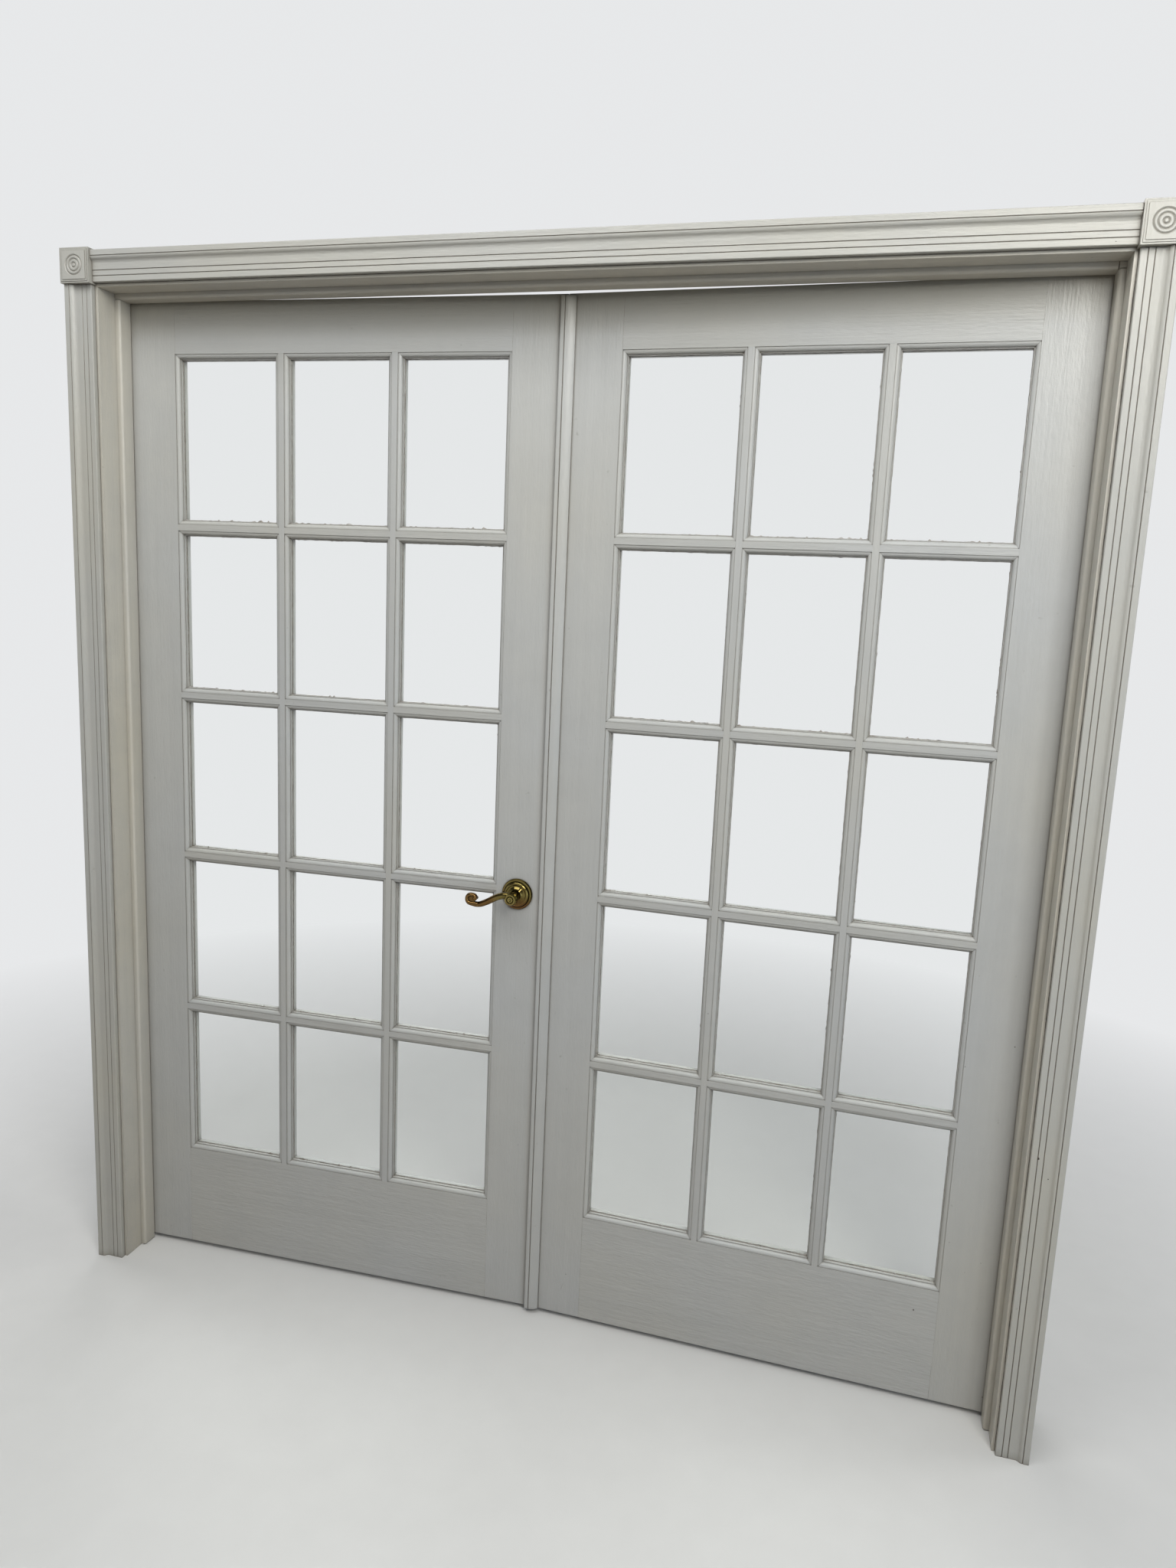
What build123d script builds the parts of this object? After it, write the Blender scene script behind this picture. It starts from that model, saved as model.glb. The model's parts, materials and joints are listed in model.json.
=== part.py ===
from build123d import *
import math
import os

# Interior french doors: a pair of glazed leaves with fifteen panes each, hung in one cased frame.
# Millimetres. +Z is up and the front faces -Y. The origin is on the finished floor, on the line
# where the leaves meet, in the middle of the frame's depth. The leaves swing away, towards +Y.
# Everything is built with the leaves shut, and each leaf is then turned about its hinge pins to
# stand ajar, as in the photograph.

# Leaves
leaf_w = 914.0
leaf_h = 2032.0
leaf_t = 35.0
stile_flat = 104.5
top_rail_flat = 98.5
bottom_rail_flat = 227.5
bar_flat = 12.0
lite_columns = 3
lite_rows = 5
ajar_deg = 1.6
follow_ratio = 0.98

# Moulded edge round each pane, seen from the front
quirk_drop = 1.2
quirk_in = 0.8
ovolo_r = 7.0
stick_w = 9.5
glass_depth = 14.0
pane_t = 3.0
rebate_set = 1.0
pane_clear = 0.5
bead_chamfer = 6.0

# Joinery inside the leaves
tenon_t = 11.0
tenon_l = 45.0
tenon_shoulder = 15.0

# How far a cutter runs past the face it cuts, and the spare room where a piece slides
over = 1.0
spare = 1.0

# Frame
meet_gap = 3.0
hinge_gap = 3.0
foot_gap = 12.0
head_gap = 8.5
jamb_t = 18.0
jamb_depth = 116.0
rebate_depth = 6.0
stop_w = 32.0
stop_t = 11.0
stop_gap = 1.0
stop_round = 5.0
stop_foot_gap = 2.0
filler_h = 13.0

# Casings and corner blocks
casing_w = 57.0
casing_t = 17.0
casing_thin = 11.0
casing_edge_r = 1.5
flute_w = 1.8
flute_d = 1.3
flute_a = 11.0
flute_b = 21.0
cove_start = 32.0
cove_end = 40.0
cove_rise = 3.6
cove_bow = 1.1
swell_bow = 0.5
flute_c = 46.0
back_land = 10.0
back_inner_land = 14.0
back_relief = 1.5
front_reveal = 6.0
back_reveal = 10.0
block_w = 64.0
block_t = 24.0
block_borders = (3.0, 6.3)
block_step = 1.0
ring_radii = (4.2, 11.2, 17.6)
ring_half_w = 2.0
ring_d = 1.6

# Astragal on the right leaf
astragal_w = 28.0
astragal_t = 11.0
astragal_lap = 12.0
astragal_edge_r = 3.0
astragal_groove_at = 9.5
astragal_groove_w = 2.2
astragal_groove_d = 1.6
astragal_thin = 3.3
astragal_bow = 1.6
astragal_relief = 1.2
astragal_stop_gap = 2.5

# Butt hinges
hinge_h = 89.0
hinge_count = 3
hinge_top_drop = 178.0
hinge_foot_rise = 279.0
hinge_plate_t = 2.4
hinge_plate_w = 26.0
hinge_plate_r = 6.0
knuckle_r = 5.6
knuckle_clear = 0.3
knuckle_gap = 0.3
knuckle_count = 3
pin_r = 3.1
pin_fit = 0.06
pin_head_r = 4.6
pin_head_h = 3.0

# Latch and levers
lever_z = 912.0
backset = 60.0
cross_bore_r = 27.0
latch_tube_r = 11.0
latch_fit = 0.3
latch_tail = 12.0
face_w = 25.0
face_h = 57.0
face_t = 1.6
bolt_w = 11.0
bolt_h = 17.0
bolt_reach = 9.5
bolt_draw = 9.5
bolt_fit = 0.2
spindle_w = 8.0
spindle_end = 28.0
spindle_bore_r = 6.0
rosette_r = 31.5
rosette_h = 14.0
rosette_fit = 0.3
rim_h = 5.0
rim_w = 4.5
rim_edge_h = 2.0
rim_roll = 1.6
rim_drop = 1.0
dome_r = 19.0
dome_foot = 9.2
hollow_bow = 2.4
dome_step = 2.0
dome_rise = 0.6
collar_w = 1.5
collar_drop = 1.1
neck_r = 9.5
neck_len = 24.0
hub_r = 12.5
hub_len = 18.0
hub_front = 50.0
hub_bevel = 3.0
hub_lip = 2.0
hub_ring = 5.0
hub_groove_w = 2.0
hub_groove_d = 1.5
hub_dimple_r = 3.0
hub_dimple_d = 1.6
arm_thick = 13.5
arm_broad = 14.0
arm_tip_thick = 6.0
arm_tip_broad = 11.0
arm_taper = 2.2
lever_sections = 16
arm_route = ((0.0, 5.6), (-13.2, 5.8), (-23.8, 3.0), (-35.8, -2.6), (-45.8, -8.6), (-56.8, -14.2),
             (-67.8, -17.8))
scroll_x = -81.3
scroll_z = -7.2
scroll_r = 10.3
scroll_tighten = 2.3
scroll_from_deg = 285.0
scroll_turn_deg = 273.0
scroll_points = 7
scroll_eye_r = 4.2
scroll_eye_w = 12.0
scroll_eye_edge = 1.2
scroll_web_r = 8.5
scroll_web_t = 4.5
bolt_tail = 4.0
bolt_heel = 3.0
strike_hole_back = 4.5
strike_hole_clear = 1.5
strike_hole_spare = 3.0

# Flush bolts in the right leaf's meeting edge
flush_plate_l = 150.0
flush_plate_w = 19.0
flush_plate_t = 2.0
flush_rod_r = 4.5
flush_fit = 0.3
top_throw = 16.0
foot_throw = 24.0
flush_wall = 3.0
flush_guide = 12.0
rod_set_in = 8.0
rod_drop = 0.5
rod_fit = 0.08
thumb_slot_rise = 25.0
thumb_h = 14.0
thumb_w = 8.0
keeper_l = 40.0
keeper_w = 19.0
keeper_t = 2.0
keeper_clear = 1.0

# Places worked out from the sizes
jamb_face_x = meet_gap / 2 + leaf_w + hinge_gap
leaf_edge_x = meet_gap / 2 + leaf_w
frame_front_y = -jamb_depth / 2
frame_back_y = jamb_depth / 2
leaf_front_y = frame_back_y - leaf_t
head_z = foot_gap + leaf_h + head_gap
leaf_top_z = foot_gap + leaf_h
pivot_x = jamb_face_x - hinge_gap / 2
pivot_y = frame_back_y + knuckle_clear + knuckle_r
field_w = leaf_w - 2 * stile_flat
field_h = leaf_h - top_rail_flat - bottom_rail_flat
lite_w = (field_w - (lite_columns - 1) * bar_flat) / lite_columns
lite_h = (field_h - (lite_rows - 1) * bar_flat) / lite_rows
field_x = -leaf_edge_x + stile_flat
field_z = foot_gap + bottom_rail_flat
lever_x = -meet_gap / 2 - backset
leaf_mid_y = leaf_front_y + leaf_t / 2
rod_x = meet_gap / 2 + flush_plate_t + rod_set_in
stop_back_y = leaf_front_y - stop_gap
stop_front_y = stop_back_y - stop_w
stop_foot_z = head_z - stop_t


def box(x0, x1, y0, y1, z0, z1):
    """Box between two corners."""
    centre = Pos((x0 + x1) / 2, (y0 + y1) / 2, (z0 + z1) / 2)
    return centre * Box(abs(x1 - x0), abs(y1 - y0), abs(z1 - z0))


def prism(outline, length):
    """Outline drawn in (across, depth) and run along +Z from the origin."""
    return extrude(outline, amount=length)


def closed_face(*edges):
    """Face inside a closed run of edges in the XY plane."""
    return make_face(list(edges))


def run(points):
    """Straight edges through the points, in order."""
    return [Line(a, b) for a, b in zip(points, points[1:])]


def arc_about(centre, start, end):
    """Short arc from start to end about a centre."""
    across = (start[0] + end[0]) / 2 - centre[0]
    deep = (start[1] + end[1]) / 2 - centre[1]
    scale = math.dist(start, centre) / math.hypot(across, deep)
    return ThreePointArc(start, (centre[0] + across * scale, centre[1] + deep * scale), end)


def bowed(start, end, bow):
    """Arc from start to end that stands off its chord by bow, to the right of the way it runs."""
    length = math.dist(start, end)
    across = (end[0] - start[0]) / length
    deep = (end[1] - start[1]) / length
    middle = ((start[0] + end[0]) / 2 + bow * deep, (start[1] + end[1]) / 2 - bow * across)
    return ThreePointArc(start, middle, end)


def mirrored(shape, side):
    """The left-hand shape itself, or its mirror image for the right."""
    if side < 0:
        return shape
    return mirror(shape, about=Plane.YZ)


def stand_ajar(shape, side):
    """Turn a leaf's piece about its hinge pins, away from the front."""
    angle = ajar_deg if side < 0 else -ajar_deg * follow_ratio
    pin = Axis((side * pivot_x, pivot_y, 0), (0, 0, 1))
    return shape.rotate(pin, angle)


def stick_edges(edge, sign):
    """Moulded edge from the leaf's front face down to the glass, at a flat that ends at edge."""
    top = (edge + sign * quirk_in, quirk_drop)
    foot = (edge + sign * (quirk_in + ovolo_r), quirk_drop + ovolo_r)
    lip = (edge + sign * stick_w, quirk_drop + ovolo_r)
    edges = run([(edge, 0), (edge, quirk_drop), top])
    edges.append(arc_about((top[0], foot[1]), top, foot))
    edges += run([foot, lip, (edge + sign * stick_w, glass_depth)])
    return edges


def stile_outline(width, edge_sign):
    """Section of a stile or rail: flat of the given width, moulded on one edge."""
    wall = width + rebate_set
    edges = run([(0, 0), (width, 0)])
    edges += stick_edges(width, 1)
    edges += run([(width + stick_w, glass_depth), (wall, glass_depth), (wall, leaf_t)])
    edges += run([(wall, leaf_t), (0, leaf_t), (0, 0)])
    outline = closed_face(*edges)
    if edge_sign < 0:
        outline = mirror(outline, about=Plane.YZ)
    return outline


def bar_outline():
    """Section of a glazing bar, moulded on both edges with a tongue behind."""
    half = bar_flat / 2
    wall = half + rebate_set
    right = stick_edges(half, 1)
    left = [mirror(edge, about=Plane.YZ) for edge in right]
    back = run([(half + stick_w, glass_depth), (wall, glass_depth), (wall, leaf_t)])
    back += run([(wall, leaf_t), (-wall, leaf_t)])
    back += run([(-wall, leaf_t), (-wall, glass_depth), (-half - stick_w, glass_depth)])
    return closed_face(*run([(-half, 0), (half, 0)]), *right, *back, *left)


def upright(outline, x, z0, z1):
    """Run a section vertically at x, with its face on the leaf's front."""
    return Pos(x, leaf_front_y, z0) * prism(outline, z1 - z0)


def level(outline, z, x0, x1):
    """Run a section horizontally, its across direction pointing up from z."""
    frame = Plane(origin=(x1, leaf_front_y, z), x_dir=(0, 0, 1), z_dir=(-1, 0, 0))
    return frame * prism(outline, x1 - x0)


def bar_x(column):
    """Centre of the upright bar after the given column of panes."""
    return field_x + column * (lite_w + bar_flat) - bar_flat / 2


def bar_z(row):
    """Centre of the cross bar above the given row of panes, counted from the foot."""
    return field_z + row * (lite_h + bar_flat) - bar_flat / 2


def tenon(x0, x1, z0, z1):
    """Tenon in the middle of the leaf's thickness."""
    half = tenon_t / 2
    return box(x0, x1, leaf_mid_y - half, leaf_mid_y + half, z0 + tenon_shoulder, z1 - tenon_shoulder)


def leaf_frame():
    """Stiles and rails of the left leaf: full-height stiles, rails coped and tenoned into them."""
    meeting_x = -meet_gap / 2
    hinge_stile = upright(stile_outline(stile_flat, 1), -leaf_edge_x, foot_gap, leaf_top_z)
    meeting_stile = upright(stile_outline(stile_flat, -1), meeting_x, foot_gap, leaf_top_z)
    right_x = field_x + field_w
    rails = [
        level(stile_outline(top_rail_flat, -1), leaf_top_z, field_x, right_x),
        level(stile_outline(bottom_rail_flat, 1), foot_gap, field_x, right_x),
    ]
    spans = [(leaf_top_z - top_rail_flat, leaf_top_z), (foot_gap, field_z)]
    made = []
    for rail, (z0, z1) in zip(rails, spans):
        body = rail - hinge_stile - meeting_stile
        root = stick_w + rebate_set
        left = tenon(field_x - tenon_l, field_x + root, z0, z1)
        right = tenon(right_x - root, right_x + tenon_l, z0, z1)
        made.append((body + left + right, left, right))
    for _, left, right in made:
        hinge_stile -= left
        meeting_stile -= right
    return hinge_stile, meeting_stile, made[0][0], made[1][0]


def upright_bars(top_rail, bottom_rail):
    """Continuous upright bars, coped over both rails."""
    blank = upright(bar_outline(), bar_x(1), field_z, field_z + field_h) - top_rail - bottom_rail
    step = lite_w + bar_flat
    return [Pos(column * step, 0, 0) * blank for column in range(lite_columns - 1)]


def cross_bars(hinge_stile, first_bar):
    """Short cross bars between the uprights, each coped over its neighbours."""
    blank = level(bar_outline(), bar_z(1), field_x, field_x + lite_w) - hinge_stile - first_bar
    bars = []
    for row in range(lite_rows - 1):
        for column in range(lite_columns):
            bars.append(Pos(column * (lite_w + bar_flat), 0, row * (lite_h + bar_flat)) * blank)
    return bars


def lite_centres():
    """Centres of the panes, row by row from the foot."""
    for row in range(lite_rows):
        for column in range(lite_columns):
            x = field_x + lite_w / 2 + column * (lite_w + bar_flat)
            z = field_z + lite_h / 2 + row * (lite_h + bar_flat)
            yield x, z


def panes():
    """Clear panes, each lying against the moulded edge of its rebate."""
    inset = rebate_set + pane_clear
    pane = Box(lite_w - 2 * inset, pane_t, lite_h - 2 * inset)
    y = leaf_front_y + glass_depth + pane_t / 2
    return [Pos(x, y, z) * pane for x, z in lite_centres()]


def mitred_bead(length):
    """Glazing bead along +Z from the origin, mitred at both ends; its wall side is at x = 0."""
    width = stick_w - rebate_set
    near = glass_depth + pane_t
    points = [(0, near), (width, near), (width, leaf_t - bead_chamfer)]
    points += [(width - bead_chamfer, leaf_t), (0, leaf_t), (0, near)]
    bar = prism(closed_face(*run(points)), length)
    reach = width + over
    notch = closed_face(*run([(0, 0), (reach, 0), (reach, reach), (0, 0)]))
    side_on = Plane(origin=(0, leaf_t + over, 0), x_dir=(1, 0, 0), z_dir=(0, -1, 0))
    wedge = side_on * extrude(notch, amount=leaf_t + 2 * over)
    return bar - wedge - Pos(0, 0, length) * mirror(wedge, about=Plane.XY)


def glazing_beads():
    """Four mitred beads behind every pane."""
    wide = lite_w - 2 * rebate_set
    tall = lite_h - 2 * rebate_set
    left = Pos(-wide / 2, leaf_front_y, -tall / 2) * mitred_bead(tall)
    lying = Plane(origin=(wide / 2, leaf_front_y, -tall / 2), x_dir=(0, 0, 1), z_dir=(-1, 0, 0))
    bottom = lying * mitred_bead(wide)
    ring = [left, mirror(left, about=Plane.YZ), bottom, mirror(bottom, about=Plane.XY)]
    return [Pos(x, 0, z) * bead for x, z in lite_centres() for bead in ring]


def hinge_heights():
    """Centres of the hinges, from the foot up."""
    top = leaf_top_z - hinge_top_drop - hinge_h / 2
    low = foot_gap + hinge_foot_rise + hinge_h / 2
    return [low + (top - low) * index / (hinge_count - 1) for index in range(hinge_count)]


def knuckles(first):
    """Low and high ends of every second ring round the hinge pin, centred on z = 0."""
    pitch = hinge_h / knuckle_count
    for index in range(first, knuckle_count, 2):
        below = knuckle_gap / 2 if index > 0 else 0
        above = knuckle_gap / 2 if index < knuckle_count - 1 else 0
        low = index * pitch - hinge_h / 2
        yield low + below, low + pitch - above


def hinge_plate(first, sign):
    """Plate of one hinge with its knuckles, the pin at the origin and the plate towards -Y."""
    near = hinge_gap / 2
    edge = frame_back_y - pivot_y
    x0 = sign * near
    x1 = sign * (near + hinge_plate_t)
    plate = box(x0, x1, edge - hinge_plate_w, edge, -hinge_h / 2, hinge_h / 2)
    corners = plate.edges().filter_by(Axis.X).group_by(Axis.Y)[0]
    plate = fillet(corners, hinge_plate_r)
    for low, high in knuckles(first):
        ring = Pos(0, 0, low) * extrude(Circle(knuckle_r), amount=high - low)
        plate += ring + box(x0, x1, edge - over, 0, low, high)
    return plate - Cylinder(pin_r + pin_fit, hinge_h + 2 * over)


def hinge_pin():
    """Loose pin with a flat button head, flush under the lowest knuckle."""
    shaft = Cylinder(pin_r, hinge_h)
    head = Pos(0, 0, hinge_h / 2 + pin_head_h / 2) * Cylinder(pin_head_r, pin_head_h)
    return shaft + head


def at_hinges(shapes):
    """Copies of the shapes at every hinge of the left side."""
    return [Pos(-pivot_x, pivot_y, z) * shape for z in hinge_heights() for shape in shapes]


def casing_outline():
    """Fluted casing with a relieved back, drawn outwards from the opening and towards the room."""
    thin = casing_thin
    thick = casing_t
    edge = casing_edge_r
    half = flute_w / 2

    def flute(at, depth):
        return run([(at - half, depth), (at, depth - flute_d), (at + half, depth)])

    high = thin + cove_rise
    edges = [Line((0, 0), (0, thin - edge))]
    edges.append(arc_about((edge, thin - edge), (0, thin - edge), (edge, thin)))
    edges.append(Line((edge, thin), (flute_a - half, thin)))
    edges += flute(flute_a, thin)
    edges.append(Line((flute_a + half, thin), (flute_b - half, thin)))
    edges += flute(flute_b, thin)
    edges.append(Line((flute_b + half, thin), (cove_start, thin)))
    edges.append(bowed((cove_start, thin), (cove_end, high), cove_bow))
    edges.append(bowed((cove_end, high), (flute_c - half, thick), -swell_bow))
    edges += flute(flute_c, thick)
    inner = casing_w - edge
    edges.append(Line((flute_c + half, thick), (inner, thick)))
    edges.append(arc_about((inner, thick - edge), (inner, thick), (casing_w, thick - edge)))
    land = casing_w - back_land
    edges += run([(casing_w, thick - edge), (casing_w, 0), (land, 0), (land, back_relief)])
    edges += run([(land, back_relief), (back_inner_land, back_relief), (back_inner_land, 0), (0, 0)])
    return closed_face(*edges)


def block_places(reveal):
    """Centre of the left corner block over the casings' centre lines."""
    x = -(jamb_face_x + reveal + casing_w / 2)
    z = head_z + reveal + casing_w / 2
    return x, z


def corner_block():
    """Square block with a stepped border and a turned bull's-eye, facing -Y from y = 0."""
    half = block_w / 2
    low_t = block_t - len(block_borders) * block_step
    slab = box(-half, half, -low_t, 0, -half, half)
    for step, border in enumerate(block_borders, 1):
        inner = half - border
        slab += box(-inner, inner, -low_t - step * block_step, 0, -inner, inner)
    for radius in ring_radii:
        low = radius - ring_half_w
        high = radius + ring_half_w
        groove = closed_face(*run([(low, -block_t), (radius, ring_d - block_t), (high, -block_t),
                                   (high, -block_t - over), (low, -block_t - over), (low, -block_t)]))
        slab -= revolve(groove, axis=Axis.Y)
    return slab


def casing_set(reveal):
    """Left upright casing, head casing and left corner block of one face, backs on y = 0."""
    x, z = block_places(reveal)
    section = casing_outline()
    toward_room = mirror(section, about=Plane.XZ)
    outward = mirror(toward_room, about=Plane.YZ)
    side = Pos(-(jamb_face_x + reveal), 0, 0) * prism(outward, z - block_w / 2)
    span = -x - block_w / 2
    lying = Plane(origin=(span, 0, head_z + reveal), x_dir=(0, 0, 1), z_dir=(-1, 0, 0))
    head = lying * prism(toward_room, 2 * span)
    block = Pos(x, 0, z) * corner_block()
    return side, head, block


def faced(shape, back):
    """Put a casing piece on the frame's front or, turned about, on its back."""
    if back:
        return Pos(0, frame_back_y, 0) * mirror(shape, about=Plane.XZ)
    return Pos(0, frame_front_y, 0) * shape


def side_jamb(plates):
    """Left jamb: rebated for the head at its top and let in for the hinge plates."""
    top = head_z + jamb_t
    jamb = box(-jamb_face_x - jamb_t, -jamb_face_x, frame_front_y, frame_back_y, 0, top)
    jamb -= box(-jamb_face_x - rebate_depth, -jamb_face_x, frame_front_y, frame_back_y, head_z, top)
    for plate in plates:
        jamb -= plate
    return jamb


def head_jamb():
    """Head, let into both side jambs."""
    reach = jamb_face_x + rebate_depth
    return box(-reach, reach, frame_front_y, frame_back_y, head_z, head_z + jamb_t)


def stop_outline():
    """Door stop: thickness towards the opening, its front corner rounded."""
    r = stop_round
    edges = run([(0, 0), (0, stop_w), (stop_t, stop_w), (stop_t, r)])
    edges.append(arc_about((stop_t - r, r), (stop_t, r), (stop_t - r, 0)))
    edges.append(Line((stop_t - r, 0), (0, 0)))
    return closed_face(*edges)


def side_stop():
    """Left stop, from just above the floor up to the head stop."""
    height = stop_foot_z - stop_foot_gap
    return Pos(-jamb_face_x, stop_front_y, stop_foot_gap) * prism(stop_outline(), height)


def head_stop():
    """Head stop, from jamb to jamb above the side stops."""
    lying = Plane(origin=(-jamb_face_x, stop_front_y, head_z), x_dir=(0, 0, -1), z_dir=(1, 0, 0))
    return lying * prism(stop_outline(), 2 * jamb_face_x)


def astragal():
    """Moulded strip on the right leaf's front, lapping over the left leaf."""
    top = stop_foot_z - astragal_stop_gap
    r = astragal_edge_r
    face = -astragal_t
    near = astragal_groove_at - astragal_groove_w / 2
    far = near + astragal_groove_w
    edges = [Line((0, -astragal_relief), (0, face + r))]
    edges.append(arc_about((r, face + r), (0, face + r), (r, face)))
    edges += run([(r, face), (near, face), (astragal_groove_at, face + astragal_groove_d), (far, face)])
    edges.append(bowed((far, face), (astragal_w, -astragal_thin), astragal_bow))
    step = astragal_lap + meet_gap / 2
    edges += run([(astragal_w, -astragal_thin), (astragal_w, 0), (step, 0), (step, -astragal_relief),
                  (0, -astragal_relief)])
    return Pos(-astragal_lap, leaf_front_y, foot_gap) * prism(closed_face(*edges), top - foot_gap)


def along_x(shape, x, z):
    """Set a shape made along +Z so that it runs along +X from x, in the middle of the leaves."""
    return Pos(x, leaf_mid_y, z) * (Rot(0, 90, 0) * shape)


def face_plate():
    """Round-ended plate let into the left leaf's meeting edge, at the latch."""
    frame = Plane(origin=(-meet_gap / 2, leaf_mid_y, lever_z), x_dir=(0, 0, 1), z_dir=(-1, 0, 0))
    return frame * extrude(SlotOverall(face_h, face_w), amount=face_t)


def latch_bolt():
    """Sprung latch bolt, bevelled on the side that meets the strike as the leaf shuts."""
    edge_x = -meet_gap / 2
    tail = edge_x - face_t - bolt_reach - bolt_tail
    tip = edge_x + bolt_reach
    half = bolt_w / 2
    near = leaf_mid_y - half
    far = leaf_mid_y + half
    outline = closed_face(*run([(tail, near), (edge_x, near), (tip, far - bolt_heel), (tip, far),
                                (tail, far), (tail, near)]))
    return Pos(0, 0, lever_z - bolt_h / 2) * extrude(outline, amount=bolt_h)


def bolt_channel():
    """Space in the latch for the bolt's whole travel."""
    edge_x = -meet_gap / 2
    half_w = bolt_w / 2 + bolt_fit
    half_h = bolt_h / 2 + bolt_fit
    deep = edge_x - face_t - bolt_reach - bolt_tail - bolt_draw - spare
    return box(deep, edge_x + over, leaf_mid_y - half_w, leaf_mid_y + half_w,
               lever_z - half_h, lever_z + half_h)


def latch_case():
    """Round latch case from the edge plate to just past the spindle."""
    edge_x = -meet_gap / 2 - face_t
    length = edge_x - lever_x + latch_tail
    tube = Cylinder(latch_tube_r, length, align=(Align.CENTER, Align.CENTER, Align.MIN))
    case = along_x(tube, edge_x - length, lever_z)
    hub = Pos(lever_x, leaf_mid_y, lever_z) * Rot(90, 0, 0) * Cylinder(spindle_bore_r, leaf_t)
    return case - bolt_channel() - hub


def latch_bores():
    """Bores in the meeting stile: across for the levers, in from the edge for the latch."""
    drill = Rot(90, 0, 0) * Cylinder(cross_bore_r, leaf_t + 2 * over)
    across = Pos(lever_x, leaf_mid_y, lever_z) * drill
    length = -meet_gap / 2 - lever_x + cross_bore_r
    tube = Cylinder(latch_tube_r + latch_fit, length, align=(Align.CENTER, Align.CENTER, Align.MIN))
    return across + along_x(tube, -meet_gap / 2 - length, lever_z)


def strike_pocket():
    """Hole behind the strike plate, with room for the bolt to swing out as the leaves part."""
    low_y = leaf_mid_y - bolt_w / 2 - strike_hole_clear
    high_y = leaf_mid_y + bolt_w / 2 + strike_hole_back
    half = bolt_h / 2 + strike_hole_clear
    deep = meet_gap / 2 + bolt_reach + strike_hole_spare
    return box(0, deep, low_y, high_y, lever_z - half, lever_z + half)


def rosette():
    """Turned rose facing -Y from y = 0: rolled rim, hollow and stepped dome round the neck."""
    rim = rosette_r
    top = -rosette_h
    bore = neck_r + rosette_fit
    hollow = (rim - rim_w - rim_drop, rim_drop - rim_h)
    foot = (dome_r, -dome_foot)
    edges = run([(bore, 0), (rim, 0), (rim, -rim_edge_h), (rim - rim_roll, rim_drop / 2 - rim_h),
                 (rim - rim_w, -rim_h), hollow])
    edges.append(bowed(hollow, foot, -hollow_bow))
    collar = bore + collar_w
    edges += run([foot, (dome_r - dome_step, foot[1] - dome_rise),
                  (collar + dome_step, top + collar_drop), (collar, top), (bore, top), (bore, 0)])
    return revolve(closed_face(*edges), axis=Axis.Y)


def lever_route():
    """Centre line of the lever in (x, z): the drooping arm, then the scroll that rises at its end."""
    turns = []
    for index in range(scroll_points):
        share = index / (scroll_points - 1)
        angle = math.radians(scroll_from_deg - scroll_turn_deg * share)
        radius = scroll_r - scroll_tighten * share
        turns.append((scroll_x + radius * math.cos(angle), scroll_z + radius * math.sin(angle)))
    return list(arm_route) + turns


def lever():
    """Front lever at the origin, its spindle along Y: neck, ringed hub, arm and webbed scroll."""
    arm_y = -(hub_front - hub_len / 2)
    path = Spline([(x, arm_y, z) for x, z in lever_route()])
    sections = []
    for index in range(lever_sections):
        share = index / (lever_sections - 1)
        frame = Plane(origin=path @ share, x_dir=(0, 1, 0), z_dir=path % share)
        thick = arm_thick + (arm_tip_thick - arm_thick) * share ** arm_taper
        broad = arm_broad + (arm_tip_broad - arm_broad) * share
        sections.append(frame * Ellipse(broad / 2, thick / 2))
    arm = loft(sections)
    front = -hub_front
    rear = front + hub_len
    foot = rear + neck_len
    ring = hub_r - hub_ring
    edges = run([(0, foot), (neck_r, foot), (neck_r, rear), (hub_r, rear - hub_bevel),
                 (hub_r, front + hub_bevel), (hub_r - hub_lip, front), (ring, front),
                 (ring - hub_groove_w / 2, front + hub_groove_d), (ring - hub_groove_w, front),
                 (hub_dimple_r, front), (0, front + hub_dimple_d), (0, foot)])
    hub = revolve(closed_face(*edges), axis=Axis.Y)
    end = path @ 1
    eye = Cylinder(scroll_eye_r, scroll_eye_w)
    eye = chamfer(eye.edges().filter_by(GeomType.CIRCLE), scroll_eye_edge)
    eye = Pos(end.X, end.Y, end.Z) * Rot(90, 0, 0) * eye
    web = Pos(scroll_x, arm_y, scroll_z) * Rot(90, 0, 0) * Cylinder(scroll_web_r, scroll_web_t)
    return hub + arm + web + eye


def spindle():
    """Square spindle through the latch, from lever to lever."""
    return Pos(lever_x, leaf_mid_y, lever_z) * Box(spindle_w, leaf_t + 2 * spindle_end, spindle_w)


def both_faces(shape):
    """A fitting on the left leaf's front at the spindle, and its mirror image on the back."""
    front = Pos(lever_x, leaf_front_y, lever_z) * shape
    back = Pos(lever_x, frame_back_y, lever_z) * mirror(shape, about=Plane.XZ)
    return front, back


def rod(radius, low, high):
    """Upright cylinder on the flush bolts' line."""
    return Pos(rod_x, leaf_mid_y, (low + high) / 2) * Cylinder(radius, high - low)


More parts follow.
